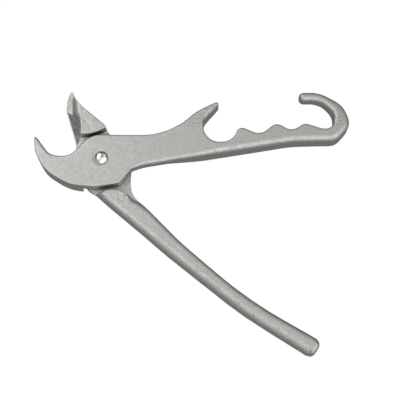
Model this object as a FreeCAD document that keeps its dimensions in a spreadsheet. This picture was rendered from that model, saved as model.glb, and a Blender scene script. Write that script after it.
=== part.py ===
"""String cutting pliers: two cast steel halves, lapped and riveted, with a hook on one handle.

The tool lies flat.  Its origin is on the pivot's axis, on the back faces (up = 0), +X runs along
the hooked handle and +Z comes out of the front.  The hook half overlies the blade half: round the
pivot each half is only one layer thick, and elsewhere each has the tool's full thickness.
"""

import FreeCAD, Part
import math
import os

import Sketcher

# Driving dimensions in millimetres (and degrees); each becomes a cell of the sheet.
SIZES = [
    ("tool_thickness", 12.0),        # both layers together
    ("blade_layer", 5.9),            # back of the tool to the blade half's lap face
    ("lap_gap", 0.1),                # running gap between the two lap faces
    ("hook_handle_reach", 163.0),    # pivot to the outside of the hook
    ("blade_handle_reach", 137.0),   # pivot to the end of the plain handle, along X
    ("taper_start", 24.0),           # beyond this Y the castings thin out
    ("taper_angle", 5.7),            # slope of each thinned face
    ("beak_edge", 0.9),              # edge rounding of the hook half
    ("jaw_edge", 0.8),               # edge rounding of the jaw and of the backs
    ("handle_edge", 3.6),            # edge rounding of the plain handle's front
    ("shank_diameter", 5.0),
    ("shank_clearance", 0.05),       # radial, in the blade half, which turns on the shank
    ("head_diameter", 8.8),
    ("head_rise", 2.3),
    ("seat_margin", 0.9),            # the spotface under the head is this much wider all round
    ("seat_depth", 0.3),
    ("washer_width", 3.0),           # from the washer's hole to its rim
    ("washer_thickness", 0.8),
    ("recess_margin", 0.5),          # the recess behind is this much wider than the washer
    ("tail_height", 1.3),
    ("tail_flare", 1.4),             # the tail stands out this far round the shank
    ("tail_inset", 0.1),             # the tail stays this far inside the back plane
]

# Corners of the outlines: name, X, Y and the radius that rounds the corner.  They are drawn for
# the reaches below, and the X of a corner past NECK stretches with its handle's reach.
HOOK_REACH_DRAWN = 163.0
BLADE_REACH_DRAWN = 137.0
NECK = 40.0
GRIP_START = -29.5   # the plain handle's rounded front edges lie below this Y
JAW_START = 19.0     # the jaw's front edges lie above this Y
THINNED_RUN = 30.0   # the tapered stretch, long enough to pass both tips
WEDGE_CLEARANCE = 5.0
HOOK_OUTLINE = [
    ("beak tip", -44.9, 17.8, 1.0),
    ("throat, far side", -33.1, 1.8, 9.0),
    ("throat, near side", -21.1, 1.2, 10.0),
    ("boss top", -7.3, 17.1, 15.0),
    ("arm top", 36.5, 15.9, 45.0),
    ("prong back", 53.4, 25.5, 35.0),
    ("prong shoulder", 63.4, 35.0, 25.0),
    ("prong tip, top", 76.4, 41.9, 1.6),
    ("prong tip, underside", 76.2, 38.2, 1.6),
    ("prong root", 66.2, 26.4, 5.0),
    ("notch, near side", 66.5, 11.5, 10.4),
    ("notch, far side", 84.7, 11.4, 10.4),
    ("first crest", 89.6, 22.3, 3.6),
    ("first finger groove", 103.7, 16.5, 8.0),
    ("second crest", 113.9, 25.4, 5.5),
    ("second finger groove", 123.9, 19.1, 6.8),
    ("third crest", 132.8, 25.0, 5.0),
    ("hook floor", 144.2, 20.9, 10.0),
    ("hook heel", 151.8, 21.0, 5.5),
    ("hook throat", 152.1, 33.4, 9.0),
    ("hook crown", 143.2, 42.2, 14.0),
    ("hook tip, inside", 129.9, 42.0, 3.4),
    ("hook tip, outside", 129.9, 49.0, 3.4),
    ("hook top", 144.8, 49.0, 22.0),
    ("hook shoulder", 159.0, 38.4, 14.0),
    ("hook side", 163.4, 24.0, 9.0),
    ("hook base", 153.2, 12.4, 10.0),
    ("grip underside", 124.0, 11.7, 70.0),
    ("arm underside", 28.0, -4.8, 30.0),
    ("neck", 20.0, -7.7, 1.5),
    ("boss corner", 12.3, -17.6, 2.0),
    ("boss bottom", -4.0, -20.3, 25.0),
    ("beak belly", -20.0, -18.7, 25.0),
    ("beak back", -36.6, -8.2, 22.0),
    ("beak cheek", -43.3, 4.2, 20.0),
]
BLADE_OUTLINE = [
    ("jaw tip", -21.9, 50.2, 1.0),
    ("jaw back", -17.9, 40.9, 30.0),
    ("jaw heel", 1.0, 23.9, 2.0),
    ("plate top", 5.5, 17.5, 3.0),
    ("plate side", 19.5, 6.0, 14.0),
    ("plate neck", 18.6, -15.0, 14.0),
    ("handle shoulder", 20.6, -24.0, 12.0),
    ("handle inside, upper", 50.0, -54.5, 260.0),
    ("handle inside, lower", 91.8, -91.2, 260.0),
    ("handle end, inside", 137.3, -118.9, 4.4),
    ("handle end, outside", 131.2, -129.1, 5.0),
    ("handle outside, lower", 87.4, -100.2, 260.0),
    ("handle outside, upper", 39.5, -61.2, 260.0),
    ("plate corner", -9.0, -19.0, 1.0),
    ("plate edge", -17.2, -6.0, 14.0),
    ("blade heel", -17.4, 11.1, 3.0),
    ("blade point", -25.0, 34.8, 6.0),
    ("blade nose", -25.3, 42.0, 8.0),
]
# What the blade half's back layer sweeps through, cut from the back of the hook half.
HOOK_RELIEF = [
    ("above the arm", 33.0, 30.0, 0.0),
    ("arm shoulder", 33.4, 1.5, 3.0),
    ("arm shelf", 41.0, -1.6, 1.0),
    ("below the arm", 41.0, -16.0, 0.0),
    ("below the boss", -11.4, -30.0, 0.0),
    ("opening stop", -11.4, -18.8, 0.6),
    ("plate clearance", -17.8, -6.6, 4.0),
    ("blade clearance", -21.6, -4.7, 2.0),
    ("beak shelf", -42.8, 6.8, 20.0),
    ("beak shelf end", -51.0, 15.0, 0.0),
    ("beyond the beak", -60.0, 26.0, 0.0),
    ("above the beak", -40.0, 30.0, 0.0),
]
# What the hook half's front layer sweeps through, cut from the front of the blade half.
BLADE_RELIEF = [
    ("left of the tip", -30.0, 52.0, 0.0),
    ("beyond the tip", -12.0, 52.0, 0.0),
    ("ledge tip", -21.0, 44.4, 0.8),
    ("ledge", -20.4, 33.4, 6.0),
    ("blade flat", -14.5, 22.6, 5.0),
    ("ledge foot", -14.6, 16.4, 1.0),
    ("shoulder", -6.0, 17.4, 18.0),
    ("shoulder end", 6.0, 23.0, 0.0),
    ("outside the plate", 44.0, 12.0, 0.0),
    ("outside the handle", 44.0, -29.0, 0.0),
    ("handle corner", 22.2, -28.6, 3.0),
    ("handle top, near side", 15.4, -22.6, 12.0),
    ("handle top, far side", 5.0, -21.0, 20.0),
    ("outside the neck", -10.0, -26.5, 0.0),
    ("outside the boss", -34.0, -10.0, 0.0),
]

doc = FreeCAD.newDocument("string_cutting_pliers")
sheet = doc.addObject("Spreadsheet::Sheet", "sizes")
for row, (alias, value) in enumerate(SIZES, start=1):
    sheet.set(f"A{row}", alias)
    sheet.set(f"B{row}", str(value))
    sheet.setAlias(f"B{row}", alias)
doc.recompute()


def size(alias):
    """The sheet's value for one driving dimension."""
    return float(sheet.get(alias))


def stretched(corners, reach, reach_drawn):
    """Corners as (point, radius), with those past the neck spread to the handle's reach."""
    stretch = (reach - NECK) / (reach_drawn - NECK)
    placed = []
    for _, x, y, radius in corners:
        across = x if x < NECK else NECK + (x - NECK) * stretch
        placed.append((FreeCAD.Vector(across, y, 0), radius))
    return placed


def rounded_corner(before, corner, after, radius):
    """Start, middle and end of the arc that rounds one corner of an outline."""
    back = (before - corner).normalize()
    ahead = (after - corner).normalize()
    half_angle = back.getAngle(ahead) / 2
    setback = radius / math.tan(half_angle)
    inward = (back + ahead).normalize()
    centre = corner + inward * (radius / math.sin(half_angle))
    return corner + back * setback, centre - inward * radius, corner + ahead * setback


def draw_outline(sketch, corners):
    """Draw a closed outline of lines and tangent arcs into a sketch."""
    points = [point for point, _ in corners]
    count = len(corners)
    bends = []
    for index, (point, radius) in enumerate(corners):
        if radius > 0:
            after = points[(index + 1) % count]
            bends.append(rounded_corner(points[index - 1], point, after, radius))
        else:
            bends.append((point, None, point))
    for index, (start, middle, end) in enumerate(bends):
        if middle is not None:
            sketch.addGeometry(Part.Arc(start, middle, end), False)
        next_start = bends[(index + 1) % count][0]
        sketch.addGeometry(Part.LineSegment(end, next_start), False)


def new_body(label):
    """An empty body with its own label and placement."""
    body = doc.addObject("PartDesign::Body", label)
    body.Label = label
    body.Placement = FreeCAD.Placement()
    return body


def new_sketch(body, name, role="XY_Plane", height=None):
    """A sketch on one of the body's origin planes, raised by an expression."""
    plane = next(item for item in body.Origin.OriginFeatures if item.Role == role)
    sketch = body.newObject("Sketcher::SketchObject", name)
    sketch.AttachmentSupport = [(plane, "")]
    sketch.MapMode = "FlatFace"
    if height:
        sketch.setExpression("AttachmentOffset.Base.z", height)
    return sketch


def add_feature(body, kind, name, sketch, length, upward=False):
    """A pad or pocket of a sketch, its length bound to the sheet."""
    feature = body.newObject(f"PartDesign::{kind}", name)
    feature.Profile = sketch
    feature.setExpression("Length", length)
    feature.Reversed = upward
    sketch.Visibility = False
    doc.recompute()
    return feature


def round_hole(body, name, radius, depth, height=None, upward=True):
    """A round pocket on the pivot's axis."""
    sketch = new_sketch(body, f"{name}_circle", height=height)
    sketch.addGeometry(Part.Circle(FreeCAD.Vector(), FreeCAD.Vector(0, 0, 1), 1.0), False)
    sketch.addConstraint(Sketcher.Constraint("Coincident", 0, 3, -1, 1))
    sketch.addConstraint(Sketcher.Constraint("Radius", 0, 1.0))
    sketch.setExpression("Constraints[1]", radius)
    return add_feature(body, "Pocket", name, sketch, depth, upward)


def edges_at(shape, height, keep=lambda point: True):
    """Names of the flat edges at one height whose middles pass a test."""
    names = []
    for number, edge in enumerate(shape.Edges, start=1):
        box = edge.BoundBox
        level = abs(box.ZMin - height) < 1e-4 and abs(box.ZMax - height) < 1e-4
        middle = edge.valueAt((edge.FirstParameter + edge.LastParameter) / 2)
        if level and keep(middle):
            names.append(f"Edge{number}")
    return names


def round_edges(body, name, base, edges, radius):
    """A fillet of named edges, its radius bound to the sheet."""
    fillet = body.newObject("PartDesign::Fillet", name)
    fillet.Base = (base, edges)
    fillet.setExpression("Radius", radius)
    doc.recompute()
    return fillet


def thin_beyond(body, name):
    """Slope both faces of a casting towards +Y, so that its far end is thinner."""
    start = size("taper_start")
    fall = math.tan(math.radians(size("taper_angle"))) * THINNED_RUN
    end = start + THINNED_RUN
    top = size("tool_thickness")
    for side, face, outward in (("front", top, 1), ("back", 0.0, -1)):
        sketch = new_sketch(body, f"{name}_{side}_wedge", role="YZ_Plane")
        corners = [
            FreeCAD.Vector(start, face, 0),
            FreeCAD.Vector(end, face - outward * fall, 0),
            FreeCAD.Vector(end, face + outward * WEDGE_CLEARANCE, 0),
            FreeCAD.Vector(start, face + outward * WEDGE_CLEARANCE, 0),
        ]
        for first, second in zip(corners, corners[1:] + corners[:1]):
            sketch.addGeometry(Part.LineSegment(first, second), False)
        cut = body.newObject("PartDesign::Pocket", f"{name}_{side}")
        cut.Profile = sketch
        cut.Type = "ThroughAll"
        cut.Midplane = True
        doc.recompute()


def build_hook_half():
    """The front half: beak, boss, arm, prong, finger grooves and hook in one casting."""
    body = new_body("hook_half")
    outline = new_sketch(body, "hook_outline")
    reach = size("hook_handle_reach")
    draw_outline(outline, stretched(HOOK_OUTLINE, reach, HOOK_REACH_DRAWN))
    blank = add_feature(body, "Pad", "blank", outline, "sizes.tool_thickness")
    rims = edges_at(blank.Shape, 0)
    rims += edges_at(blank.Shape, size("tool_thickness"))
    round_edges(body, "cast_edges", blank, rims, "sizes.beak_edge")
    relief = new_sketch(body, "relief_outline")
    draw_outline(relief, stretched(HOOK_RELIEF, reach, HOOK_REACH_DRAWN))
    lap = "sizes.blade_layer + sizes.lap_gap"
    add_feature(body, "Pocket", "lap_relief", relief, lap, upward=True)
    thin_beyond(body, "thinning")
    round_hole(body, "rivet_bore", "sizes.shank_diameter / 2", "sizes.tool_thickness")
    round_hole(body, "head_seat", "sizes.head_diameter / 2 + sizes.seat_margin",
               "sizes.seat_depth", height="sizes.tool_thickness", upward=False)
    return body


def build_blade_half():
    """The rear half: jaw with its ground blade, lapped plate and plain handle."""
    body = new_body("blade_half")
    outline = new_sketch(body, "blade_outline")
    reach = size("blade_handle_reach")
    draw_outline(outline, stretched(BLADE_OUTLINE, reach, BLADE_REACH_DRAWN))
    add_feature(body, "Pad", "blank", outline, "sizes.tool_thickness")
    relief = new_sketch(body, "relief_outline", height="sizes.blade_layer")
    draw_outline(relief, stretched(BLADE_RELIEF, reach, BLADE_REACH_DRAWN))
    lapped = add_feature(body, "Pocket", "lap_relief", relief, "sizes.tool_thickness", upward=True)
    backs = edges_at(lapped.Shape, 0)
    softened = round_edges(body, "back_edges", lapped, backs, "sizes.jaw_edge")
    front = size("tool_thickness")
    handle_rim = edges_at(softened.Shape, front, lambda point: point.y < GRIP_START)
    gripped = round_edges(body, "handle_edges", softened, handle_rim, "sizes.handle_edge")
    jaw_rim = edges_at(gripped.Shape, front, lambda point: point.y > JAW_START)
    round_edges(body, "jaw_edges", gripped, jaw_rim, "sizes.jaw_edge")
    thin_beyond(body, "thinning")
    round_hole(body, "rivet_bore", "sizes.shank_diameter / 2 + sizes.shank_clearance",
               "sizes.tool_thickness")
    round_hole(body, "washer_recess",
               "sizes.shank_diameter / 2 + sizes.washer_width + sizes.recess_margin",
               "sizes.tail_inset + sizes.tail_height + sizes.washer_thickness")
    return body


def build_rivet():
    """The rivet: a domed head at the front, a plain shank and a flattened tail."""
    body = new_body("pivot_rivet")
    shank = size("shank_diameter") / 2
    head = size("head_diameter") / 2
    tail = shank + size("tail_flare")
    seat = size("tool_thickness") - size("seat_depth")
    crown = seat + size("head_rise")
    tail_foot = size("tail_inset")
    tail_top = tail_foot + size("tail_height")
    brim = seat + size("head_rise") / 4
    rise = crown - brim
    dome = (head ** 2 + rise ** 2) / (2 * rise)
    slant = math.asin(head / dome) / 2
    soft = size("tail_height") / 2
    sketch = new_sketch(body, "half_section", role="XZ_Plane")
    corners = [(0, tail_foot), (tail - soft, tail_foot), None, (tail - soft, tail_top),
               (shank, tail_top), (shank, seat), (head, seat), (head, brim), None, (0, crown)]
    bulge = [(tail, tail_foot + soft),
             (dome * math.sin(slant), crown - dome * (1 - math.cos(slant)))]
    points = [FreeCAD.Vector(*corner, 0) if corner else None for corner in corners]
    bulges = [FreeCAD.Vector(*corner, 0) for corner in bulge]
    for index, point in enumerate(points):
        following = points[(index + 1) % len(points)]
        if point is None:
            arc = Part.Arc(points[index - 1], bulges.pop(0), following)
            sketch.addGeometry(arc, False)
        elif following is not None:
            sketch.addGeometry(Part.LineSegment(point, following), False)
    turned = body.newObject("PartDesign::Revolution", "turned")
    turned.Profile = sketch
    turned.ReferenceAxis = (sketch, ["V_Axis"])
    turned.Angle = 360.0
    doc.recompute()
    return body


def build_washer():
    """The washer between the blade half and the rivet's tail."""
    body = new_body("rivet_washer")
    sketch = new_sketch(body, "ring", height="sizes.tail_inset + sizes.tail_height")
    hole = "sizes.shank_diameter / 2"
    for index, radius in enumerate((f"{hole} + sizes.washer_width", hole)):
        start = size("shank_diameter") / (1 + index)
        circle = Part.Circle(FreeCAD.Vector(), FreeCAD.Vector(0, 0, 1), start)
        sketch.addGeometry(circle, False)
        sketch.addConstraint(Sketcher.Constraint("Coincident", index, 3, -1, 1))
        sketch.addConstraint(Sketcher.Constraint("Radius", index, start))
        sketch.setExpression(f"Constraints[{2 * index + 1}]", radius)
    add_feature(body, "Pad", "disc", sketch, "sizes.washer_thickness - sizes.lap_gap / 2")
    return body


bodies = [build_hook_half(), build_blade_half(), build_rivet(), build_washer()]
doc.recompute()
failed = [item.Name for item in doc.Objects if {"Invalid", "Error"} & set(item.State)]
if failed:
    raise RuntimeError(f"features failed: {failed}")
for body in bodies:
    if body.Shape.isNull() or not body.Shape.isValid() or len(body.Shape.Solids) != 1:
        raise RuntimeError(f"{body.Label} is not one valid solid")

os.makedirs("parts", exist_ok=True)
for body in bodies:
    body.Shape.exportStep(f"parts/{body.Label}.step")
    box = body.Shape.BoundBox
    print(f"{body.Label}: {body.Shape.Volume:.0f} mm3,"
          f" X {box.XMin:.1f}..{box.XMax:.1f} Y {box.YMin:.1f}..{box.YMax:.1f}"
          f" Z {box.ZMin:.2f}..{box.ZMax:.2f}")
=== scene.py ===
"""Visual model of a pair of string-cutting hand pliers with a hooked, finger-grooved handle.

The two cast halves are grown as signed-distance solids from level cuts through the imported
nodes, so that they keep the measured outlines while their rims, shoulders and grinding marks
get the soft shapes of a sand-blasted casting. Lengths in the classes are millimetres.
"""

import logging
import math
from dataclasses import dataclass, field
from enum import Enum
from typing import Callable

import bpy
import numpy as np
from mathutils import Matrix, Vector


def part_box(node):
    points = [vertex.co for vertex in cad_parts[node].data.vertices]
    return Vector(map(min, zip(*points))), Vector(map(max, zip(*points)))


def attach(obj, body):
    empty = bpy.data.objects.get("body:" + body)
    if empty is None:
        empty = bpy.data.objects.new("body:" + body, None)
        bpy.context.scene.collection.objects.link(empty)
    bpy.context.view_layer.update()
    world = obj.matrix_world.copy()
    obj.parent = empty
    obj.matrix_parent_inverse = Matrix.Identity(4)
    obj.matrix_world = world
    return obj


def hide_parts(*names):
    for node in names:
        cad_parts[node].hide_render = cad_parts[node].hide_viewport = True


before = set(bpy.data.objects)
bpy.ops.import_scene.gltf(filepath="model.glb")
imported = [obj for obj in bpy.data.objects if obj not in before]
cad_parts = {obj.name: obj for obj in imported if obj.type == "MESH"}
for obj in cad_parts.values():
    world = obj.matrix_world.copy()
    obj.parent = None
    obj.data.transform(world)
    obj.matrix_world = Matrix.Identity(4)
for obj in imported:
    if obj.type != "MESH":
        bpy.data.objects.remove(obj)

import openvdb
from mathutils import Matrix, Vector

LOG = logging.getLogger("pliers")
MM = 0.001

Array = np.ndarray
Field = Callable[[Array, Array, Array], Array]
Socket = bpy.types.NodeSocket
Point = tuple[float, float]
Span = tuple[float, float]
Triple = tuple[float, float, float]


class Body(Enum):
    """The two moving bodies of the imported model."""

    HOOK = "hook_handle"
    BLADE = "blade_handle"


class Slot(Enum):
    """The material slots named in the record."""

    CASTING = "blasted_steel"
    RIVET = "plated_rivet"
    WASHER = "plain_washer"


# ---------------------------------------------------------------- small maths


def ease(low: float, high: float, value: Array) -> Array:
    """A smooth step from 0 at low to 1 at high."""
    t = np.clip((value - low) / (high - low), 0.0, 1.0)
    return t * t * (3.0 - 2.0 * t)


def mix(first: Array | float, second: Array | float, share: Array) -> Array:
    """first where share is 0, second where it is 1."""
    return first + (second - first) * share


def blend_union(first: Array, second: Array, fillet: float) -> Array:
    """Union of two solids with a fillet of about that size in the inside corner."""
    near = np.clip(0.5 + 0.5 * (second - first) / fillet, 0.0, 1.0)
    return mix(second, first, near) - fillet * near * (1.0 - near)


def blend_cut(solid: Array, tool: Array, fillet: float) -> Array:
    """The solid with the tool's shape taken out of it, its rim softened."""
    return -blend_union(-solid, tool, fillet)


def slab(edge: Array, z: Array, low: Array, high: Array, low_rim: Array, high_rim: Array) -> Array:
    """Signed distance of an outline raised between two heights.

    Args:
        edge: signed distance to the outline, negative inside it.
        z: height of each point.
        low: height of the lower face.
        high: height of the upper face.
        low_rim: rounding of the lower rim.
        high_rim: rounding of the upper rim.

    Returns:
        The signed distance, negative inside the slab.
    """
    middle = 0.5 * (low + high)
    rim = np.where(z > middle, high_rim, low_rim)
    side = edge + rim
    rise = np.abs(z - middle) - 0.5 * (high - low) + rim
    outside = np.hypot(np.maximum(side, 0.0), np.maximum(rise, 0.0))
    return np.minimum(np.maximum(side, rise), 0.0) + outside - rim


def post(x: Array, y: Array, z: Array, radius: float, low: float, high: float) -> Array:
    """Signed distance of an upright round post on the pivot's axis."""
    return np.maximum(np.hypot(x, y) - radius, np.abs(z - 0.5 * (low + high)) - 0.5 * (high - low))


def ripple(x: Array, y: Array, z: Array, pitch: float, seed: int, waves: int = 9) -> Array:
    """A smooth, repeatable waviness: plane waves that run in chance directions, added up.

    Args:
        x: places across.
        y: places along.
        z: heights.
        pitch: usual length of one wave.
        seed: picks the pattern.
        waves: how many waves are added up.

    Returns:
        The waviness, between about -1 and 1.
    """
    chance = np.random.default_rng(seed)
    total = np.zeros(np.broadcast(x, y, z).shape)
    for _ in range(waves):
        way = chance.normal(size=3)
        way *= 2.0 * math.pi / (pitch * chance.uniform(0.7, 1.6) * np.linalg.norm(way))
        total += np.sin(x * way[0] + y * way[1] + z * way[2] + chance.uniform(0.0, 6.28))
    return total / math.sqrt(waves) * 0.7


# ---------------------------------------------------------------- outlines


@dataclass(frozen=True)
class Rounding:
    """A stretch of outline to round off: its middle, reach, passes of averaging and outward move."""

    place: Point
    wide: float
    passes: int
    grow: float = 0.0


@dataclass
class Outline:
    """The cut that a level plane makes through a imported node, as a map of signed distance."""

    node: str
    level: float
    pitch: float = 0.2
    margin: float = 3.0
    tile: int = 16
    window_share: float = 1.7
    left: float = field(init=False, default=0.0)
    front: float = field(init=False, default=0.0)
    chart: Array = field(init=False, repr=False, default=None)

    def __post_init__(self) -> None:
        """Cuts the node and charts the distance to the cut."""
        starts, ends = self.cut()
        corners = np.vstack([starts, ends])
        low, high = corners.min(0), corners.max(0)
        self.left, self.front = low - self.margin
        across, along = np.ceil((high + self.margin - low + self.margin) / self.pitch)
        xs = self.left + self.pitch * np.arange(int(across) + 2)
        ys = self.front + self.pitch * np.arange(int(along) + 2)
        away = np.empty((len(xs), len(ys)))
        for i in range(0, len(xs), self.tile):
            for j in range(0, len(ys), self.tile):
                part_x, part_y = xs[i : i + self.tile], ys[j : j + self.tile]
                away[i : i + self.tile, j : j + self.tile] = self.nearest(part_x, part_y, starts, ends)
        self.chart = away * self.sides(xs, ys, starts, ends)

    def cut(self) -> tuple[Array, Array]:
        """Cuts the node's triangles at the level.

        Returns:
            The two ends of every edge piece of the cut, in millimetres.
        """
        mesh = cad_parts[self.node].data
        mesh.calc_loop_triangles()
        places = np.empty(len(mesh.vertices) * 3)
        mesh.vertices.foreach_get("co", places)
        ring = np.empty(len(mesh.loop_triangles) * 3, np.int32)
        mesh.loop_triangles.foreach_get("vertices", ring)
        corners = places.reshape(-1, 3)[ring.reshape(-1, 3)] / MM
        above = corners[:, :, 2] - self.level
        corners = corners[(above.min(1) < 0.0) & (above.max(1) > 0.0)]
        starts, ends = [], []
        for triangle in corners:
            points = []
            for k in range(3):
                one, two = triangle[k], triangle[(k + 1) % 3]
                rise_one, rise_two = one[2] - self.level, two[2] - self.level
                if (rise_one < 0.0) != (rise_two < 0.0):
                    points.append((one + (two - one) * rise_one / (rise_one - rise_two))[:2])
            starts.append(points[0])
            ends.append(points[1])
        return np.array(starts), np.array(ends)

    @staticmethod
    def nearest(xs: Array, ys: Array, starts: Array, ends: Array) -> Array:
        """Distance from a tile of points to the nearest edge piece.

        Args:
            xs: the tile's columns.
            ys: the tile's rows.
            starts: one end of every edge piece.
            ends: the other end of every edge piece.

        Returns:
            The distance of each point of the tile.
        """

        def away(points: Array, first: Array, last: Array) -> Array:
            """Distances between points and edge pieces.

            Args:
                points: the points, one in each row.
                first: one end of every edge piece.
                last: the other end of every edge piece.

            Returns:
                One row of distances for each point.
            """
            run = last - first
            long = np.maximum((run * run).sum(1), 1e-12)
            gap = points[:, None, :] - first[None]
            share = np.clip((gap * run[None]).sum(2) / long, 0.0, 1.0)
            return np.linalg.norm(gap - share[..., None] * run[None], axis=2)

        centre = np.array([[xs.mean(), ys.mean()]])
        reach = math.hypot(xs[-1] - xs[0], ys[-1] - ys[0])
        from_centre = away(centre, starts, ends)[0]
        near = from_centre <= from_centre.min() + reach + 0.1
        grid = np.stack(np.meshgrid(xs, ys, indexing="ij"), axis=-1).reshape(-1, 2)
        return away(grid, starts[near], ends[near]).min(1).reshape(len(xs), len(ys))

    @staticmethod
    def sides(xs: Array, ys: Array, starts: Array, ends: Array) -> Array:
        """Tells the points inside the cut from those outside it, row by row.

        Args:
            xs: the chart's columns.
            ys: the chart's rows.
            starts: one end of every edge piece.
            ends: the other end of every edge piece.

        Returns:
            -1 for each point inside the cut and 1 for each point outside it.
        """
        off_corners = 1e-5
        sign = np.ones((len(xs), len(ys)))
        for j, y in enumerate(ys + off_corners):
            crossing = (starts[:, 1] > y) != (ends[:, 1] > y)
            first, last = starts[crossing], ends[crossing]
            run, rise = (last - first).T
            places = np.sort(first[:, 0] + run * (y - first[:, 1]) / rise)
            sign[np.searchsorted(places, xs) % 2 == 1, j] = -1.0
        return sign

    def look_up(self, chart: Array, x: Array, y: Array) -> Array:
        """Reads a chart of this outline between its samples.

        Args:
            chart: values at the outline's samples.
            x: places across.
            y: places along.

        Returns:
            The chart's value at each place.
        """
        u = np.clip((x - self.left) / self.pitch, 0.0, chart.shape[0] - 1.001)
        v = np.clip((y - self.front) / self.pitch, 0.0, chart.shape[1] - 1.001)
        i, j = u.astype(int), v.astype(int)
        u, v = u - i, v - j
        low = chart[i, j] * (1.0 - u) + chart[i + 1, j] * u
        high = chart[i, j + 1] * (1.0 - u) + chart[i + 1, j + 1] * u
        return low * (1.0 - v) + high * v

    def at(self, x: Array, y: Array) -> Array:
        """Signed distance to the outline, negative inside it."""
        return self.look_up(self.chart, x, y)

    def facing(self) -> tuple[Array, Array]:
        """Charts the direction in which the nearest edge faces.

        Returns:
            The direction's part across and its part along.
        """
        across, along = np.gradient(self.chart, self.pitch)
        for _ in range(3):
            across, along = soften(across), soften(along)
        return across, along

    def round_off(self, stretch: Rounding) -> None:
        """Rounds the outline's corners about one place and moves the edge there out a little.

        Args:
            stretch: where and how much; more passes give larger rounds.
        """
        middle_x, middle_y = stretch.place
        column = int((middle_x - self.left) / self.pitch)
        row = int((middle_y - self.front) / self.pitch)
        reach = int(self.window_share * stretch.wide / self.pitch)
        window = np.s_[max(column - reach, 0) : column + reach, max(row - reach, 0) : row + reach]
        x, y = (grid[window] for grid in self.points())
        share = np.exp(-(((x - middle_x) ** 2 + (y - middle_y) ** 2) / stretch.wide**2) ** 2)
        smooth = self.chart[window]
        for _ in range(stretch.passes):
            smooth = soften(smooth)
        self.chart[window] = mix(self.chart[window], smooth - stretch.grow, share)

    def points(self) -> tuple[Array, Array]:
        """The places of the chart's samples.

        Returns:
            Their places across and their places along.
        """
        xs = self.left + self.pitch * np.arange(self.chart.shape[0])
        ys = self.front + self.pitch * np.arange(self.chart.shape[1])
        return tuple(np.meshgrid(xs, ys, indexing="ij"))


def soften(chart: Array) -> Array:
    """A chart averaged with its neighbours."""
    wide = np.pad(chart, 1, mode="edge")
    return (wide[:-2, 1:-1] + wide[2:, 1:-1] + wide[1:-1, :-2] + wide[1:-1, 2:] + chart) / 5.0


# ---------------------------------------------------------------- meshes


def put(name: str, data: bpy.types.ID) -> bpy.types.Object:
    """Makes an object and adds it to the scene.

    Args:
        name: the object's name.
        data: its mesh, lamp or lens.

    Returns:
        The object.
    """
    piece = bpy.data.objects.new(name, data)
    bpy.context.scene.collection.objects.link(piece)
    return piece


@dataclass
class Skin:
    """Turns a signed-distance field into a piece with a smooth surface."""

    voxel: float = 0.5
    margin: float = 1.5
    polish: int = 2
    probe: float = 0.04
    coarse: float = 1.7
    gentlest: float = 0.2
    farthest: float = 0.3

    def grow(self, name: str, node: str, solid: Field) -> bpy.types.Object:
        """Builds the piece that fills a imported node's box.

        Args:
            name: the new piece's name.
            node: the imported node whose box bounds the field.
            solid: signed distance at points in millimetres.

        Returns:
            The new object, smooth shaded, in the shared frame.
        """
        low, high = (np.array(corner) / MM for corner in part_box(node))
        low, high = low - self.margin, high + self.margin
        step = self.voxel * 1.0
        band = 3 * step
        xs, ys, zs = (np.arange(low[k], high[k] + step, step) for k in range(3))
        flat_x, flat_y = np.meshgrid(xs, ys, indexing="ij")
        values = solid(flat_x[:, :, None], flat_y[:, :, None], zs[None, None, :])
        values = np.ascontiguousarray(np.clip(values, -band, band), dtype=np.float32)
        grid = openvdb.FloatGrid(band)
        grid.copyFromArray(values)
        points, faces = grid.convertToQuads(0.0)
        points = points.astype(float) * step + low
        for _ in range(self.polish):
            points = self.settle(points, solid)
        mesh = bpy.data.meshes.new(name)
        mesh.from_pydata((points * MM).tolist(), [], faces.tolist())
        mesh.shade_smooth()
        mesh.validate()
        return put(name, mesh)

    def settle(self, points: Array, solid: Field) -> Array:
        """Moves points along the field's slope onto its surface.

        Args:
            points: the points, one in each row.
            solid: signed distance at points in millimetres.

        Returns:
            The moved points.
        """
        x, y, z = points.T
        here = solid(x, y, z)
        slope = np.stack(
            [
                solid(x + self.probe, y, z) - solid(x - self.probe, y, z),
                solid(x, y + self.probe, z) - solid(x, y - self.probe, z),
                solid(x, y, z + self.probe) - solid(x, y, z - self.probe),
            ],
            axis=1,
        ) / (2 * self.probe)
        steep = np.maximum((slope * slope).sum(1), self.gentlest)
        move = np.clip(here / steep, -self.farthest, self.farthest)
        return points - move[:, None] * slope


@dataclass
class Turning:
    """A round piece turned from a profile of (radius, height) points."""

    profile: list[Point]
    segments: int = 128
    sharp: float = 40.0
    on_axis: float = 1e-6

    def turn(self, name: str) -> bpy.types.Object:
        """Revolves the profile about the pivot's axis.

        Args:
            name: the new piece's name.

        Returns:
            The new object, smooth shaded, with its crisp corners kept.
        """
        rows = [(max(r, 0.0), z) for r, z in self.profile]
        vertices, faces, rings = [], [], []
        for r, z in rows:
            if r < self.on_axis:
                rings.append([len(vertices)] * self.segments)
                vertices.append((0.0, 0.0, z * MM))
                continue
            rings.append(list(range(len(vertices), len(vertices) + self.segments)))
            for k in range(self.segments):
                turn = 2.0 * math.pi * k / self.segments
                vertices.append((r * MM * math.cos(turn), r * MM * math.sin(turn), z * MM))
        pairs = list(zip(rings, rings[1:]))
        if rows[0][0] > self.on_axis:
            pairs.append((rings[-1], rings[0]))
        for lower, upper in pairs:
            for k in range(self.segments):
                j = (k + 1) % self.segments
                corners = dict.fromkeys((lower[k], lower[j], upper[j], upper[k]))
                faces.append(tuple(corners))
        mesh = bpy.data.meshes.new(name)
        mesh.from_pydata(vertices, [], faces)
        mesh.shade_smooth()
        mesh.set_sharp_from_angle(angle=math.radians(self.sharp))
        return put(name, mesh)


# ---------------------------------------------------------------- finishes


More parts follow.
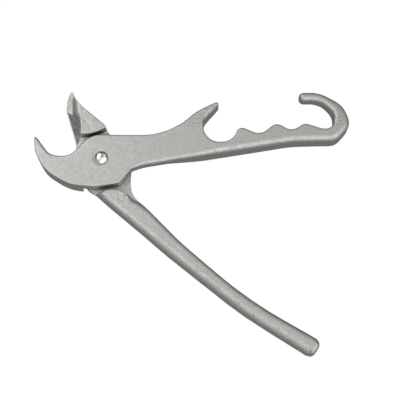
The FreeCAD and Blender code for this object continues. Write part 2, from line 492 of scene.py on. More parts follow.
class Recipe:
    """A material being put together from nodes."""

    def __init__(self, name: str, metallic: float) -> None:
        """Starts a material with a plain metal surface.

        Args:
            name: the material's name.
            metallic: how much of a metal it is, from 0 to 1.
        """
        self.material = bpy.data.materials.new(name)
        self.material.use_nodes = True
        self.tree = self.material.node_tree
        self.surface = self.tree.nodes["Principled BSDF"]
        self.surface.inputs["Metallic"].default_value = metallic
        self.place = self.add("ShaderNodeTexCoord").outputs["Object"]
        self.relief = None

    def add(self, kind: str, **settings: object) -> bpy.types.Node:
        """A new node.

        Args:
            kind: the node's type.
            settings: properties that differ from the node's usual ones.

        Returns:
            The node.
        """
        node = self.tree.nodes.new(kind)
        for key, value in settings.items():
            setattr(node, key, value)
        return node

    def link(self, output: Socket, target: Socket) -> None:
        """Joins two sockets."""
        self.tree.links.new(output, target)

    def noise(self, size: float, detail: float = 2.0, stretch: Triple = (1.0, 1.0, 1.0)) -> Socket:
        """Noise at a point of the piece.

        Args:
            size: its features' size in millimetres.
            detail: how much finer noise is laid over it.
            stretch: below 1 along an axis, its features are longer that way.

        Returns:
            The noise, from 0 to 1.
        """
        mapping = self.add("ShaderNodeMapping")
        mapping.inputs["Scale"].default_value = stretch
        self.link(self.place, mapping.inputs["Vector"])
        noise = self.add("ShaderNodeTexNoise")
        noise.inputs["Scale"].default_value = 1.0 / (size * MM)
        noise.inputs["Detail"].default_value = detail
        self.link(mapping.outputs["Vector"], noise.inputs["Vector"])
        return noise.outputs["Fac"]

    def spread(
        self, source: Socket, low: float, high: float, to_low: float, to_high: float
    ) -> Socket:
        """Maps a value from one range to another, held at its ends.

        Args:
            source: the value.
            low: where the first range starts.
            high: where the first range ends.
            to_low: what low becomes.
            to_high: what high becomes.

        Returns:
            The mapped value.
        """
        node = self.add("ShaderNodeMapRange")
        for key, value in zip(("From Min", "From Max", "To Min", "To Max"), (low, high, to_low, to_high)):
            node.inputs[key].default_value = value
        self.link(source, node.inputs["Value"])
        return node.outputs["Result"]

    def tint(self, share: Socket, first: Triple | Socket, second: Triple) -> Socket:
        """A colour between two others.

        Args:
            share: 0 for the first colour, 1 for the second.
            first: a plain colour or another tint.
            second: a plain colour.

        Returns:
            The colour.
        """
        node = self.add("ShaderNodeMix", data_type="RGBA")
        self.link(share, node.inputs["Factor"])
        start, end = (socket for socket in node.inputs if socket.type == "RGBA")
        if isinstance(first, tuple):
            start.default_value = (*first, 1.0)
        else:
            self.link(first, start)
        end.default_value = (*second, 1.0)
        return next(socket for socket in node.outputs if socket.type == "RGBA")

    def bump(self, height: Socket, depth: float) -> None:
        """Adds relief over what the material has already.

        Args:
            height: the relief's height, from 0 to 1.
            depth: what a height of 1 stands for, in millimetres.
        """
        node = self.add("ShaderNodeBump")
        node.inputs["Strength"].default_value = 1.0
        node.inputs["Distance"].default_value = depth * MM
        self.link(height, node.inputs["Height"])
        if self.relief is not None:
            self.link(self.relief, node.inputs["Normal"])
        self.relief = node.outputs["Normal"]

    def worn(self, start: float = 0.51, full: float = 0.58) -> Socket:
        """1 on outside corners, where handling has polished the metal."""
        bulge = self.add("ShaderNodeNewGeometry").outputs["Pointiness"]
        return self.spread(bulge, start, full, 0.0, 1.0)

    def painted_gap_shade(self, reach: float) -> Socket:
        """Finds corners and gaps, where the colour gets painted shade.

        Args:
            reach: how far off the other wall may be, in millimetres.

        Returns:
            A value that nears 1 deep in a corner.
        """
        node = self.add("ShaderNodeAmbientOcclusion", samples=8)
        node.inputs["Distance"].default_value = reach * MM
        return self.spread(node.outputs["AO"], 0.58, 0.22, 0.0, 0.96)

    def finish(self, colour: Socket, roughness: Socket) -> bpy.types.Material:
        """Joins colour, roughness and relief to the surface.

        Args:
            colour: the surface's colour.
            roughness: the surface's roughness.

        Returns:
            The finished material.
        """
        self.link(colour, self.surface.inputs["Base Color"])
        self.link(roughness, self.surface.inputs["Roughness"])
        if self.relief is not None:
            self.link(self.relief, self.surface.inputs["Normal"])
        return self.material


@dataclass(frozen=True)
class SandedCasting:
    """Blasted, satin cast metal: fine sand grain, soft mottling, brighter handled edges, and painted
    shade in corners and gaps.
    """

    colour: Triple = (0.482, 0.484, 0.461)
    shade: Triple = (0.421, 0.425, 0.404)
    bright: Triple = (0.605, 0.605, 0.585)
    # painted shade: the near-black colour laid into corners and gaps
    gap_shade_tone: Triple = (0.05, 0.05, 0.048)
    roughness: float = 0.50
    metallic: float = 0.92
    uneven: float = 0.05
    grain: float = 0.7
    grain_relief: float = 0.11
    grain_share: float = 0.85
    mottle: float = 2.6
    mottle_relief: float = 0.05
    drift: float = 14.0
    drift_shade: float = 0.9
    pit_shade: float = 0.8
    # how far off a wall may be for the painted shade in corners, in millimetres
    gap_shade_reach: float = 5.0

    def material(self, name: str) -> bpy.types.Material:
        """Builds the finish.

        Args:
            name: the material's name.

        Returns:
            The material.
        """
        recipe = Recipe(name, self.metallic)
        cloud = recipe.noise(self.mottle, 3.0)
        drift = recipe.noise(self.drift, 2.0)
        sand = recipe.noise(self.grain, 2.0)
        dark = tuple(self.drift_shade * part for part in self.colour)
        pit = tuple(self.pit_shade * part for part in self.shade)
        colour = recipe.tint(recipe.spread(cloud, 0.35, 0.65, 0.0, 1.0), self.colour, self.shade)
        colour = recipe.tint(recipe.spread(drift, 0.4, 0.75, 0.0, 0.5), colour, dark)
        colour = recipe.tint(recipe.spread(sand, 0.51, 0.72, 0.0, self.grain_share), colour, self.bright)
        colour = recipe.tint(recipe.spread(sand, 0.49, 0.29, 0.0, self.grain_share), colour, pit)
        colour = recipe.tint(recipe.worn(0.54, 0.66), colour, self.bright)
        # painted shade: an ambient-occlusion mask darkens corners and gaps towards near black
        colour = recipe.tint(recipe.painted_gap_shade(self.gap_shade_reach), colour, self.gap_shade_tone)
        smooth, coarse = self.roughness - self.uneven, self.roughness + self.uneven
        roughness = recipe.spread(cloud, 0.3, 0.7, smooth, coarse)
        recipe.bump(cloud, self.mottle_relief)
        recipe.bump(sand, self.grain_relief)
        return recipe.finish(colour, roughness)


@dataclass(frozen=True)
class GroundSteel:
    """Bare steel left by a grinding wheel: smoother, with fine lines along one way; its dark colour is
    painted reflection of dark surroundings.
    """

    # painted reflection: these dark colours stand in for the dark surroundings that the bare facet
    # mirrors
    colour: Triple = (0.20, 0.202, 0.198)
    shade: Triple = (0.09, 0.09, 0.088)
    bright: Triple = (0.6, 0.6, 0.59)
    roughness: float = 0.34
    line: float = 0.35
    line_stretch: Triple = (0.12, 1.0, 1.0)
    line_relief: float = 0.012
    cloud: float = 4.0

    def material(self, name: str) -> bpy.types.Material:
        """Builds the finish.

        Args:
            name: the material's name.

        Returns:
            The material.
        """
        recipe = Recipe(name, metallic=1.0)
        lines = recipe.noise(self.line, 3.0, self.line_stretch)
        cloud = recipe.noise(self.cloud, 2.0)
        colour = recipe.tint(recipe.spread(cloud, 0.35, 0.65, 0.0, 1.0), self.colour, self.shade)
        colour = recipe.tint(recipe.worn(), colour, self.bright)
        roughness = recipe.spread(lines, 0.3, 0.7, self.roughness - 0.08, self.roughness + 0.1)
        recipe.bump(lines, self.line_relief)
        return recipe.finish(colour, roughness)


@dataclass(frozen=True)
class BrightPlate:
    """Nickel-bright plating over a turned or pressed face."""

    colour: Triple = (0.76, 0.76, 0.75)
    shade: Triple = (0.56, 0.56, 0.55)
    roughness: float = 0.12
    depth: float = 0.01
    bright: Triple = (0.9, 0.9, 0.89)
    cloud: float = 1.4
    fine: float = 0.3

    def material(self, name: str) -> bpy.types.Material:
        """Builds the finish.

        Args:
            name: the material's name.

        Returns:
            The material.
        """
        recipe = Recipe(name, metallic=1.0)
        cloud = recipe.noise(self.cloud, 2.0)
        fine = recipe.noise(self.fine, 2.0)
        colour = recipe.tint(recipe.spread(cloud, 0.4, 0.7, 0.0, 1.0), self.colour, self.shade)
        colour = recipe.tint(recipe.worn(), colour, self.bright)
        roughness = recipe.spread(fine, 0.3, 0.7, self.roughness - 0.03, self.roughness + 0.05)
        recipe.bump(cloud, self.depth)
        return recipe.finish(colour, roughness)


# ---------------------------------------------------------------- the two halves


@dataclass
class Casting:
    """What the two cast halves share: thickness, how it thins towards the tips, lap and bore."""

    thickness: float = 12.0
    lap: float = 6.0
    lap_gap: float = 0.1
    cut_off: float = 0.5
    below: float = -5.0
    above: float = 20.0
    thin_from: float = 24.0
    thin_lead: float = 14.0
    thin_turn: float = 3.0
    thin_rate: float = 0.1
    fullest_rim: float = 0.45
    rim_passes: int = 6
    crisp: float = 0.4
    root: float = 0.8
    seed: int = 3
    wave: float = 0.035
    wave_pitch: float = 9.0
    cast_skin: float = 0.02
    draft: float = 0.006
    seam: float = 0.025
    seam_run: Span = (0.25, 0.6)
    draft_reach: float = 1.5

    def thinning(self, y: Array) -> Array:
        """How far the front and back faces have come in.

        Args:
            y: reach from the pivot towards the tips.

        Returns:
            The thickness that each of the two faces has lost.
        """
        past = y - self.thin_from
        rounded = past + np.sqrt(past * past + self.thin_turn**2)
        return self.thin_rate * 0.5 * rounded * ease(self.thin_from - self.thin_lead, self.thin_from, y)

    def cast(self, x: Array, y: Array, z: Array, solid: Array) -> Array:
        """The solid with its draft, parting seam and cast waviness, all inside the CAD's size.

        Args:
            x: places across.
            y: places along.
            z: heights.
            solid: signed distance of the plain solid.

        Returns:
            The signed distance of the cast one.
        """
        off_seam = np.abs(z - self.lap)
        draft = self.draft * off_seam + self.seam * ease(*self.seam_run, off_seam)
        edge_on = ease(0.0, self.draft_reach, solid + self.draft_reach)
        wavy = self.wave * (1.0 + ripple(x, y, z, self.wave_pitch, self.seed))
        return solid + self.cast_skin + wavy + draft * edge_on


@dataclass
class HookHalf(Casting):
    """The hooked, finger-grooved handle and its curved beak.

    A span is a stretch over which a rounding or a shape sets in.
    """

    node: str = "hook_half"
    upper_rim: float = 1.2
    top_rim: float = 1.9
    top_grow: float = 0.28
    lower_rim: float = 3.0
    grip_rim: float = 4.0
    hook_rim: float = 3.6
    back_rim: float = 1.6
    back_share: float = 0.8
    front_share: float = 0.48
    front_extra: float = 0.9
    facing_up: Span = (0.2, 0.7)
    facing_down: Span = (0.15, 0.8)
    past_boss: Span = (14.0, 22.0)
    on_arm: Span = (17.0, 30.0)
    on_grip: Span = (50.0, 80.0)
    under_hook: Span = (105.0, 120.0)
    over_grip: Span = (28.0, 34.0)
    hook_bar: tuple[Span, Span] = ((120.0, 128.0), (24.0, 33.0))
    hook_bend: tuple[Span, Span] = ((150.0, 156.0), (14.0, 24.0))
    belly: Rounding = Rounding((-30.0, -8.0), 13.0, 500, 0.30)
    knuckle: Rounding = Rounding((161.0, 42.0), 12.0, 350, 0.5)
    heel: Rounding = Rounding((166.0, 24.0), 9.0, 300, 0.08)
    shoulder: Rounding = Rounding((59.0, 30.0), 7.0, 300, 0.35)
    crest: Rounding = Rounding((90.5, 20.0), 4.5, 90, 0.35)
    throat: Rounding = Rounding((36.0, -12.5), 11.0, 20, 0.3)
    ramp_run: Span = (31.0, 70.0)
    ramp_clear: Span = (28.0, 34.0)
    ramp_across: Span = (1.0, 7.0)
    arm_slope: float = 0.171
    arm_drop: float = 9.4
    rear_overlap: float = 2.4
    tight: float = 0.3
    seat_radius: float = 5.3
    seat_depth: float = 0.45
    seat_lip: float = 0.12
    bore: float = 2.5
    finish: SandedCasting = SandedCasting()

    def __post_init__(self) -> None:
        """Charts the outlines and the rim rounding that goes with each stretch of edge."""
        self.whole = Outline(self.node, self.lap + self.cut_off)
        self.rear = Outline(self.node, self.lap - self.cut_off)
        for outline in (self.whole, self.rear):
            for stretch in (self.belly, self.knuckle, self.heel, self.shoulder, self.crest):
                outline.round_off(stretch)
        self.whole.round_off(self.throat)
        _, along = self.whole.facing()
        x, y = self.whole.points()
        rim = np.full_like(x, self.upper_rim)
        rim = mix(rim, self.top_rim, ease(*self.facing_up, along))
        hooked = ease(*self.over_grip, y) * ease(*self.under_hook, x)
        upward = ease(*self.facing_up, along) * ease(*self.past_boss, x) * (1.0 - hooked)
        downward = ease(*self.facing_down, -along)
        lower = mix(self.lower_rim, self.grip_rim, ease(*self.on_grip, x))
        rim = mix(rim, lower, downward * ease(*self.on_arm, x))
        on_hook = np.zeros_like(x)
        for run, reach in (self.hook_bar, self.hook_bend):
            on_hook = np.maximum(on_hook, ease(*run, x) * ease(*reach, y))
        rim = mix(rim, self.hook_rim, on_hook)
        for _ in range(self.rim_passes):
            rim, upward = soften(rim), soften(upward)
        self.rim = rim
        self.whole.chart = self.whole.chart - self.top_grow * upward

    def solid(self, x: Array, y: Array, z: Array) -> Array:
        """Signed distance of the half.

        Args:
            x: millimetres along the handle.
            y: millimetres towards the hook's side.
            z: millimetres from the back face.

        Returns:
            The signed distance, negative inside.
        """
        whole, rear = self.whole.at(x, y), self.rear.at(x, y)
        rim = self.whole.look_up(self.rim, x, y)
        inset = self.thinning(y)
        high, low = self.thickness - inset, inset
        ramp = self.lap * (1.0 - ease(*self.ramp_run, x)) * ease(*self.ramp_clear, x)
        ramp = ramp * (1.0 - ease(*self.ramp_across, y - self.arm_slope * x + self.arm_drop))
        rim = np.minimum(rim, self.fullest_rim * (high - low))
        back_rim = np.minimum(np.maximum(rim * self.back_share, self.crisp), self.back_rim)
        front_rim = np.minimum(rim, self.front_share * (high - self.lap) + self.front_extra)
        front = slab(whole, z, self.lap, high, self.crisp, front_rim)
        full = slab(rear, z, np.maximum(low, ramp), self.lap + self.rear_overlap, back_rim, self.tight)
        hull = slab(whole, z, low, high, back_rim, rim)
        solid = np.maximum(blend_union(front, full, self.tight), hull)
        seat = post(x, y, z, self.seat_radius, high.max() - self.seat_depth, self.above)
        solid = blend_cut(solid, seat, self.seat_lip)
        solid = np.maximum(solid, -post(x, y, z, self.bore, self.below, self.above))
        return self.cast(x, y, z, solid)

    def build(self) -> bpy.types.Object:
        """Grows the half, dresses it and puts it on its body.

        Returns:
            The new object.
        """
        piece = Skin(0.5).grow("hook_casting", self.node, self.solid)
        piece.data.materials.append(self.finish.material("sanded_hook"))
        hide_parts(self.node)
        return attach(piece, Body.HOOK.value)


@dataclass
class BladeHalf(Casting):
    """The plain handle and the jaw with the ground blade.

    A span is a stretch over which a rounding or a shape sets in. Each soft corner is its place
    across and along, its reach and its rounding. The jaw's hollow flank has the place of its foot
    and its width, each given at some reaches from the pivot.
    """

    node: str = "blade_half"
    seed: int = 5
    jaw_rim: float = 1.0
    jaw_back_rim: float = 1.9
    plate_rim: float = 0.5
    handle_rims: Triple = (2.8, 3.3, 3.9)
    flank_rims: Triple = (4.4, 5.4, 5.6)
    end_rim: float = 2.8
    back_rims: Span = (1.0, 5.4)
    hull_rim: float = 0.1
    rim_runs: tuple[Span, Span] = ((20.0, 75.0), (75.0, 160.0))
    soft_corners: tuple[tuple[float, float, float, float], ...] = (
        (24.5, -29.5, 6.0, 5.2),
        (-2.5, -25.0, 6.0, 5.4),
    )
    handle_slope: float = 0.70
    handle_from: Span = (-18.0, -22.0)
    back_from: Span = (-18.0, -24.0)
    end_from: Span = (150.0, 168.0)
    neck_top: Span = (-32.0, -26.0)
    jaw_from: Span = (12.0, 18.0)
    facing_flank: Span = (0.2, 0.8)
    facing_end: Span = (0.5, 0.9)
    facing_up: Span = (0.5, 0.95)
    facing_out: Span = (0.3, 0.8)
    flank_foot: tuple[Point, ...] = ((22.0, -14.9), (27.5, -17.4), (33.5, -20.7), (45.0, -21.4))
    flank_width: tuple[Point, ...] = (
        (22.0, 0.8),
        (24.5, 1.8),
        (27.0, 3.2),
        (30.0, 4.8),
        (33.5, 5.7),
        (38.0, 5.2),
        (46.0, 3.0),
    )
    flank_from: Span = (20.0, 22.0)
    flank_hollow: float = 2.0
    step_from: float = 22.0
    step_reach: float = 1.5
    least_step: float = 0.2
    apron: float = 0.25
    apron_from: Span = (25.0, 29.0)
    crease: tuple[Point, Point] = ((-12.8, 27.6), (-9.0, 24.2))
    crease_depth: float = 0.15
    crease_width: float = 1.1
    tip_rise: float = 3.2
    tip_run: Span = (40.5, 47.8)
    neck: Rounding = Rounding((24.5, -28.0), 6.0, 150)
    bow: float = 0.35
    bow_way: Point = (0.64, 0.77)
    bow_in: Span = (75.0, 125.0)
    bow_out: Span = (215.0, 250.0)
    ring_place: Point = (14.8, -27.2)
    ring_radius: float = 2.3
    ring_lift: float = 0.14
    ring_bead: float = 0.5
    ring_lip: float = 0.2
    bore: float = 2.55
    recess_radius: float = 6.0
    recess_depth: float = 2.2
    recess_lip: float = 0.1
    wheel_place: Point = (-30.7, 19.8)
    wheel_radius: float = 16.2
    ground_drop: float = 0.25
    ground_height: float = 2.0
    ground_from: float = 5.0
    ground_lip: float = 0.15
    ground_slack: float = 0.1
    ground_level: float = 0.35
    ground_reach: Span = (-1.4, 0.3)
    finish: SandedCasting = SandedCasting()
    ground: GroundSteel = GroundSteel()

    def __post_init__(self) -> None:
        """Charts the outlines and the rim rounding that goes with each stretch of edge."""
        self.plate = Outline(self.node, self.lap - self.cut_off)
        self.proud = Outline(self.node, self.lap + self.cut_off)
        for outline in (self.plate, self.proud):
            outline.round_off(self.neck)
        across, along = self.proud.facing()
        x, y = self.proud.points()
        rim = np.full_like(x, self.jaw_rim)
        run = (x - y) * math.sqrt(0.5)
        out, aside = math.cos(self.handle_slope), math.sin(self.handle_slope)
        flank = ease(*self.facing_flank, -(across * aside + along * out))
        handle = mix(self.along(self.handle_rims, run), self.along(self.flank_rims, run), flank)
        end = ease(*self.facing_end, across * out - along * aside) * ease(*self.end_from, run)
        handle = mix(handle, self.end_rim, end)
        top_arc = ease(*self.facing_up, along) * ease(*self.neck_top, y)
        handle = mix(handle, self.jaw_rim, top_arc)
        rim = mix(rim, handle, ease(*self.handle_from, y))
        outer = ease(*self.facing_out, (across + along) * math.sqrt(0.5)) * ease(*self.jaw_from, y)
        rim = mix(rim, self.jaw_back_rim, outer)
        for place_x, place_y, wide, round_to in self.soft_corners:
            rim = mix(rim, round_to, np.exp(-((x - place_x) ** 2 + (y - place_y) ** 2) / wide**2))
        for _ in range(self.rim_passes):
            rim = soften(rim)
        self.rim = rim

    def marks(self, x: Array, y: Array, z: Array) -> Array:
        """The faint ring that the mould's pin left below the neck.

        Args:
            x: places across.
            y: places along.
            z: heights.

        Returns:
            Signed distance of the bead that presses the ring in.
        """
        centre_x, centre_y = self.ring_place
        off_ring = np.hypot(x - centre_x, y - centre_y) - self.ring_radius
        return np.hypot(off_ring, z - self.thickness - self.ring_lift) - self.ring_bead

    def along(self, rims: Triple, run: Array) -> Array:
        """Rounding along the handle, eased between three sizes.

        Args:
            rims: rounding at the neck, middle and end of the handle.
            run: reach from the pivot towards the handle's end.

        Returns:
            The rounding at each reach.
        """
        start, middle, end = rims
        first, second = self.rim_runs
        return mix(mix(start, middle, ease(*first, run)), end, ease(*second, run))

    def jaw_face(self, x: Array, y: Array, high: Array) -> Array:
        """Height of the front face, with the jaw's hollow flank and its cast crease.

        Args:
            x: places across.
            y: places along.
            high: the front face's height without them.

        Returns:
            Its height with them.
        """
        feet = np.array(self.flank_foot)
        inboard = x - np.interp(y, feet[:, 0], feet[:, 1])
        widths = np.array(self.flank_width)
        width = np.interp(y, widths[:, 0], widths[:, 1])
        share = np.clip((width - inboard) / (width + self.apron * ease(*self.apron_from, y)), 0.0, 1.0)
        drop = (high - self.lap) * share**self.flank_hollow * ease(*self.flank_from, y)
        (x0, y0), (x1, y1) = self.crease
        long = (x1 - x0) ** 2 + (y1 - y0) ** 2
        part = np.clip(((x - x0) * (x1 - x0) + (y - y0) * (y1 - y0)) / long, 0.0, 1.0)
        away = np.hypot(x - x0 - part * (x1 - x0), y - y0 - part * (y1 - y0))
        return high - drop - self.crease_depth * np.exp(-((away / self.crease_width) ** 2))

    def ground_patch(self, x: Array, y: Array) -> Array:
        """Signed distance to the round patch that the grinding wheel left on the ledge."""
        return np.hypot(x - self.wheel_place[0], y - self.wheel_place[1]) - self.wheel_radius

    def solid(self, x: Array, y: Array, z: Array) -> Array:
        """Signed distance of the half.

        Args:
            x: millimetres along the other handle.
            y: millimetres towards the jaw.
            z: millimetres from the back face.

        Returns:
            The signed distance, negative inside.
        """
        shift = self.bow * ease(*self.bow_in, x - y) * (1.0 - ease(*self.bow_out, x - y))
        bowed_x, bowed_y = x + self.bow_way[0] * shift, y + self.bow_way[1] * shift
        plate, proud = self.plate.at(bowed_x, bowed_y), self.proud.at(bowed_x, bowed_y)
        rim = self.proud.look_up(self.rim, bowed_x, bowed_y)
        inset = self.thinning(y)
        high, low = self.thickness - inset, inset
        least, most = self.back_rims
        back_rim = np.maximum(np.minimum(rim, most) * ease(*self.back_from, y), least)
        ledge = self.lap - self.lap_gap + self.tip_rise * ease(*self.tip_run, y)
        face = self.jaw_face(x, y, high)
        stepped = np.maximum(ledge, np.where(y > self.step_from, face, 0.0))
        top = np.where(proud < self.step_reach, stepped, ledge)
        face = np.maximum(face, ledge + self.least_step)
        base = slab(plate, z, low, top, back_rim, self.plate_rim)
        full = slab(proud, z, low, face, back_rim, np.minimum(rim, self.fullest_rim * (face - low)))
        hull = slab(plate, z, low, face, back_rim, self.hull_rim)
        solid = np.maximum(blend_union(base, full, self.root), hull)
        wheel = np.maximum(self.ground_patch(x, y), ledge - self.ground_drop - z)
        wheel = np.maximum(wheel, z - ledge - self.ground_height)
        solid = np.where(y > self.ground_from, blend_cut(solid, wheel, self.ground_lip), solid)
        solid = blend_cut(solid, self.marks(x, y, z), self.ring_lip)
        solid = np.maximum(solid, -post(x, y, z, self.bore, self.below, self.above))
        recess = post(x, y, z, self.recess_radius, self.below, self.recess_depth)
        solid = blend_cut(solid, recess, self.recess_lip)
        return self.cast(x, y, z, solid)

    def build(self) -> bpy.types.Object:
        """Grows the half, dresses it and puts it on its body.

        Returns:
            The new object.
        """
        piece = Skin(0.45).grow("blade_casting", self.node, self.solid)
        piece.data.materials.append(self.finish.material("sanded_blade"))
        piece.data.materials.append(self.ground.material("ground_edge"))
        self.mark_ground(piece.data)
        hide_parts(self.node)
        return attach(piece, Body.BLADE.value)

    def mark_ground(self, mesh: bpy.types.Mesh) -> None:
        """Gives the faces that the wheel touched the ground finish.

        Args:
            mesh: the half's mesh, with the ground finish as its second material.
        """
        count = len(mesh.polygons)
        centres, ways = np.empty(count * 3), np.empty(count * 3)
        mesh.polygons.foreach_get("center", centres)
        mesh.polygons.foreach_get("normal", ways)
        x, y, z = centres.reshape(-1, 3).T / MM
        lowest, highest = self.ground_reach
        touched = (self.ground_patch(x, y) < self.ground_slack) & (y > self.ground_from)
        touched &= ways.reshape(-1, 3)[:, 2] > self.ground_level
        touched &= (z > self.lap + lowest) & (z < self.lap + highest)
        mesh.polygons.foreach_set("material_index", touched.astype(np.int32))


# ---------------------------------------------------------------- pivot


@dataclass
class Rivet:
    """The domed rivet that the halves turn on, set over a washer at the back."""

    node: str = "pivot_rivet"
    head_radius: float = 4.4
    seat: float = 11.7
    rim_height: float = 0.35
    dome_top: float = 13.98
    shank: float = 2.47
    tail_radius: float = 3.8
    tail_low: float = 0.12
    tail_high: float = 1.4
    tail_steps: int = 12
    dome_steps: int = 24
    dimple: tuple[Point, ...] = ((0.0, 0.25), (0.7, 0.2), (1.1, 0.03))
    under_edge: Point = (0.15, 0.12)
    dome_inset: Point = (0.02, 0.03)
    finish: BrightPlate = BrightPlate()

    def profile(self) -> list[Point]:
        """Draws the rivet's half section, from the tail's dimple to the top of the dome.

        Returns:
            The radius and height of each of its points.
        """
        points = [(r, self.tail_low + lift) for r, lift in self.dimple]
        flat = self.dimple[-1][0]
        for k in range(self.tail_steps + 1):
            turn = math.radians(90.0 * k / self.tail_steps)
            out = flat + (self.tail_radius - flat) * math.sin(turn)
            points.append((out, self.tail_high - (self.tail_high - self.tail_low) * math.cos(turn)))
        edge_in, edge_up = self.under_edge
        inset, gap = self.dome_inset
        rim = self.seat + self.rim_height
        points += [(self.shank, self.tail_high), (self.shank, self.seat)]
        points += [(self.head_radius - edge_in, self.seat), (self.head_radius, self.seat + edge_up)]
        points.append((self.head_radius, rim - gap))
        rise = self.dome_top - rim
        reach = self.head_radius - inset
        ball = (reach * reach + rise * rise) / (2.0 * rise)
        sweep = math.asin(reach / ball)
        for k in range(self.dome_steps + 1):
            turn = sweep * (1.0 - k / self.dome_steps)
            points.append((ball * math.sin(turn), self.dome_top - ball + ball * math.cos(turn)))
        return points

    def build(self) -> bpy.types.Object:
        """Turns the rivet, dresses it and puts it on its body.

        Returns:
            The new object.
        """
        piece = Turning(self.profile()).turn("rivet_turned")
        piece.data.materials.append(self.finish.material("bright_rivet"))
        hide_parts(self.node)
        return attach(piece, Body.HOOK.value)


@dataclass
class Washer:
    """The pressed washer between the blade half and the rivet's tail, with rolled edges."""

    node: str = "rivet_washer"
    inner: float = 2.56
    outer: float = 5.49
    low: float = 1.41
    high: float = 2.14
    roll: float = 0.16
    roll_steps: int = 6
    finish: BrightPlate = BrightPlate(
        colour=(0.50, 0.50, 0.485),
        shade=(0.40, 0.40, 0.385),
        roughness=0.36,
        depth=0.02,
    )

    def build(self) -> bpy.types.Object:
        """Turns the washer, dresses it and puts it on its body.

        Returns:
            The new object.
        """
        profile = []
        corners = (
            (self.inner + self.roll, self.low + self.roll, 180.0),
            (self.outer - self.roll, self.low + self.roll, 270.0),
            (self.outer - self.roll, self.high - self.roll, 0.0),
            (self.inner + self.roll, self.high - self.roll, 90.0),
        )
        for r, z, start in corners:
            for k in range(self.roll_steps + 1):
                turn = math.radians(start + 90.0 * k / self.roll_steps)
                profile.append((r + self.roll * math.cos(turn), z + self.roll * math.sin(turn)))
        piece = Turning(profile).turn("washer_pressed")
        piece.data.materials.append(self.finish.material("dull_washer"))
        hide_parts(self.node)
        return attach(piece, Body.HOOK.value)


# ---------------------------------------------------------------- studio


@dataclass
class Softbox:
    """A large soft lamp aimed at the tool."""

    name: str
    place: Triple
    size: Point
    power: float
    aim: Triple = (0.05, -0.03, 0.006)
    tone: Triple = (1.0, 1.0, 1.0)

    def hang(self) -> bpy.types.Object:
        """Adds the lamp.

        Returns:
            The lamp object.
        """
        lamp = bpy.data.lights.new(self.name, "AREA")
        lamp.shape = "RECTANGLE"
        lamp.size, lamp.size_y = self.size
        lamp.energy = self.power
        lamp.color = self.tone
        rig = put(self.name, lamp)
        rig.location = self.place
        back = (Vector(self.place) - Vector(self.aim)).normalized()
        tall = (Vector((0.0, 1.0, 0.0)) - back * back.y).normalized()
        rig.rotation_euler = Matrix((tall.cross(back), tall, back)).transposed().to_euler()
        return rig


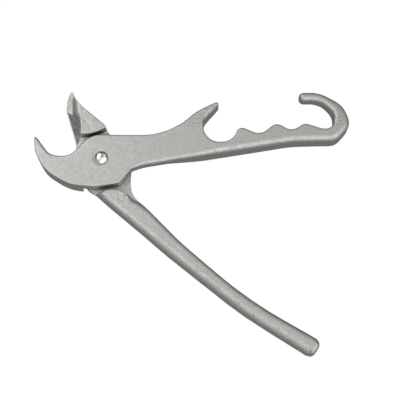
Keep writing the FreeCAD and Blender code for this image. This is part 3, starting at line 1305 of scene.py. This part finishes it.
@dataclass
class Studio:
    """Pale floor, two tall softboxes, a bright patch of sky, a dim fill and the camera."""

    floor_size: float = 3.0
    floor_drop: float = 0.00002
    floor_tone: float = 0.04
    floor_glow: float = 0.97
    camera_place: Triple = (0.06385, -0.2135, 0.5181)
    camera_aim: Triple = (0.06385, -0.02714, 0.006)
    lens: float = 76.5
    sensor: float = 36.0
    clip: Span = (0.01, 20.0)
    sky: float = 0.305
    front: float = 1.60
    sky_way: Triple = (0.48, -0.64, 0.60)
    sky_edge: Span = (0.47, 0.96)
    horizon: Span = (0.05, 0.55)
    fill: float = 0.26
    far_fill: float = 0.3
    fill_run: Span = (-0.2, 0.8)
    boxes: list[Softbox] = field(
        default_factory=lambda: [
            Softbox("left_box", (-0.60, 0.45, 0.94), (0.75, 1.70), 7.7),
            Softbox("right_box", (0.84, 0.45, 0.88), (0.60, 1.70), 1.3),
        ]
    )

    def build(self) -> None:
        """Sets out the floor, lamps, fill and camera."""
        self.lay_floor()
        for box in self.boxes:
            box.hang()
        self.light_room()
        self.place_camera()

    def lay_floor(self) -> bpy.types.Object:
        """Lays a pale, evenly lit floor that the tool rests on.

        Returns:
            The floor object.
        """
        half = self.floor_size / 2
        corners = [(-half, -half), (half, -half), (half, half), (-half, half)]
        mesh = bpy.data.meshes.new("floor")
        mesh.from_pydata([(x, y, -self.floor_drop) for x, y in corners], [], [(0, 1, 2, 3)])
        floor = put("floor", mesh)
        material = bpy.data.materials.new("light_table")
        material.use_nodes = True
        surface = material.node_tree.nodes["Principled BSDF"]
        surface.inputs["Base Color"].default_value = (*[self.floor_tone] * 3, 1.0)
        surface.inputs["Roughness"].default_value = 1.0
        surface.inputs["Specular IOR Level"].default_value = 0.0
        surface.inputs["Emission Color"].default_value = (1.0, 1.0, 1.0, 1.0)
        surface.inputs["Emission Strength"].default_value = self.floor_glow
        mesh.materials.append(material)
        floor.visible_diffuse = False
        floor.visible_glossy = False
        floor.visible_shadow = False
        return floor

    def light_room(self) -> None:
        """Lights the room from the near right-hand sky, over a dim fill that fades to the far side."""
        world = bpy.data.worlds.new("room")
        world.use_nodes = True
        tree = world.node_tree
        back = tree.nodes["Background"]
        back.inputs["Color"].default_value = (1.0, 1.0, 1.0, 1.0)
        way = tree.nodes.new("ShaderNodeTexCoord").outputs["Generated"]
        lean = tree.nodes.new("ShaderNodeVectorMath")
        lean.operation = "DOT_PRODUCT"
        lean.inputs[1].default_value = Vector(self.sky_way).normalized()
        tree.links.new(way, lean.inputs[0])
        height = tree.nodes.new("ShaderNodeSeparateXYZ")
        tree.links.new(way, height.inputs[0])
        ranges = []
        for source, spans in (
            (lean.outputs["Value"], (*self.sky_edge, self.sky, self.front)),
            (height.outputs["Z"], (*self.horizon, 0.0, 1.0)),
            (height.outputs["Y"], (*self.fill_run, self.fill, self.far_fill * self.fill)),
        ):
            node = tree.nodes.new("ShaderNodeMapRange")
            node.interpolation_type = "SMOOTHSTEP"
            for key, value in zip(("From Min", "From Max", "To Min", "To Max"), spans):
                node.inputs[key].default_value = value
            tree.links.new(source, node.inputs["Value"])
            ranges.append(node.outputs["Result"])
        level = tree.nodes.new("ShaderNodeMath")
        level.operation = "MULTIPLY_ADD"
        for k, part in enumerate(ranges):
            tree.links.new(part, level.inputs[k])
        tree.links.new(level.outputs["Value"], back.inputs["Strength"])
        bpy.context.scene.world = world

    def place_camera(self) -> bpy.types.Object:
        """Adds the camera and makes it the scene's.

        Returns:
            The camera object.
        """
        lens = bpy.data.cameras.new("camera")
        lens.lens, lens.sensor_width = self.lens, self.sensor
        lens.dof.use_dof = False
        lens.clip_start, lens.clip_end = self.clip
        camera = put("camera", lens)
        camera.location = self.camera_place
        way = Vector(self.camera_aim) - Vector(self.camera_place)
        camera.rotation_euler = way.to_track_quat("-Z", "Y").to_euler()
        bpy.context.scene.camera = camera
        bpy.context.scene.view_settings.view_transform = "Standard"
        return camera


# ---------------------------------------------------------------- main


def main() -> None:
    """Builds the tool's pieces and the studio, and logs each piece's face count."""
    logging.basicConfig(level=logging.INFO, format="%(name)s: %(message)s")
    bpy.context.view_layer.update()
    for part in (HookHalf(), BladeHalf(), Rivet(), Washer()):
        piece = part.build()
        LOG.info("%s: %d faces", piece.name, len(piece.data.polygons))
    Studio().build()


if __name__ == "__main__":
    main()
